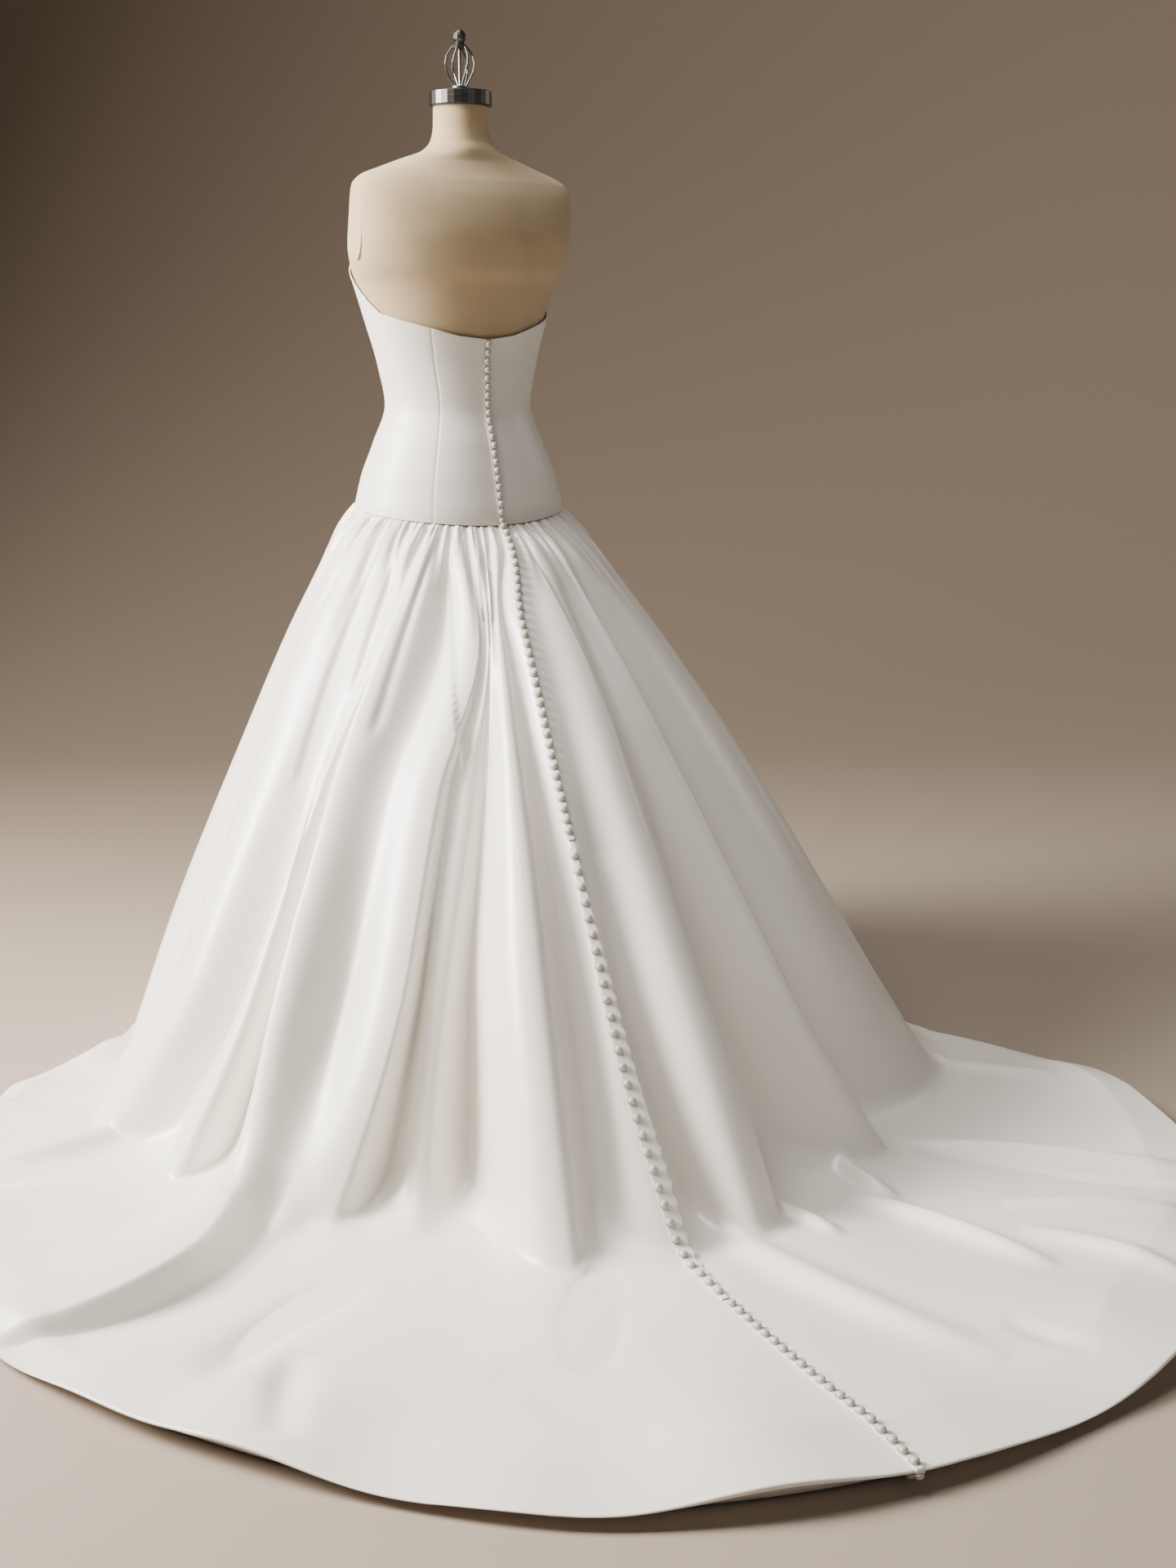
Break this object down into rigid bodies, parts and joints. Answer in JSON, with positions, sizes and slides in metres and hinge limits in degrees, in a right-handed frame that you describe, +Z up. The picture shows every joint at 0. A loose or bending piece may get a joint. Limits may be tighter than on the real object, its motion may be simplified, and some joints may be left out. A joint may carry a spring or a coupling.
{
  "type": "wedding dress on a dress form",
  "caption": "Strapless ivory satin wedding dress with a dropped gathered skirt, chapel train and covered back buttons, worn on a limbless dress form with a stand.",
  "frame": {"origin": "on the floor, at the centre of the underside of the stand's base, under the pole", "axes": "+Z up; the dress's front faces -Y and its train lies toward +Y; the wearer's left is +X"},
  "size_m": [1.7404, 1.9794, 1.6158],
  "materials": {
    "satin": "matte ivory satin",
    "satin_trim": "ivory satin strip and covered buttons",
    "linen": "beige linen cover, pulled tight",
    "board": "linen-covered board",
    "steel": "brushed dark steel"
  },
  "bodies": {
    "root": {"skirt_front": "satin", "skirt_side_left": "satin", "skirt_side_right": "satin", "train_left": "satin", "train_right": "satin", "bodice_front": "satin", "bodice_side_front_left": "satin", "bodice_side_front_right": "satin", "bodice_side_back_left": "satin", "bodice_side_back_right": "satin", "bodice_back_left": "satin", "bodice_back_right": "satin", "placket_bodice": "satin_trim", "placket_upper_skirt": "satin_trim", "placket_lower_skirt": "satin_trim", "placket_train": "satin_trim", "form_torso": "linen", "arm_plate_left": "board", "arm_plate_right": "board", "neck_cap_and_finial": "steel", "stand": "steel"}
  },
  "joints": []
}
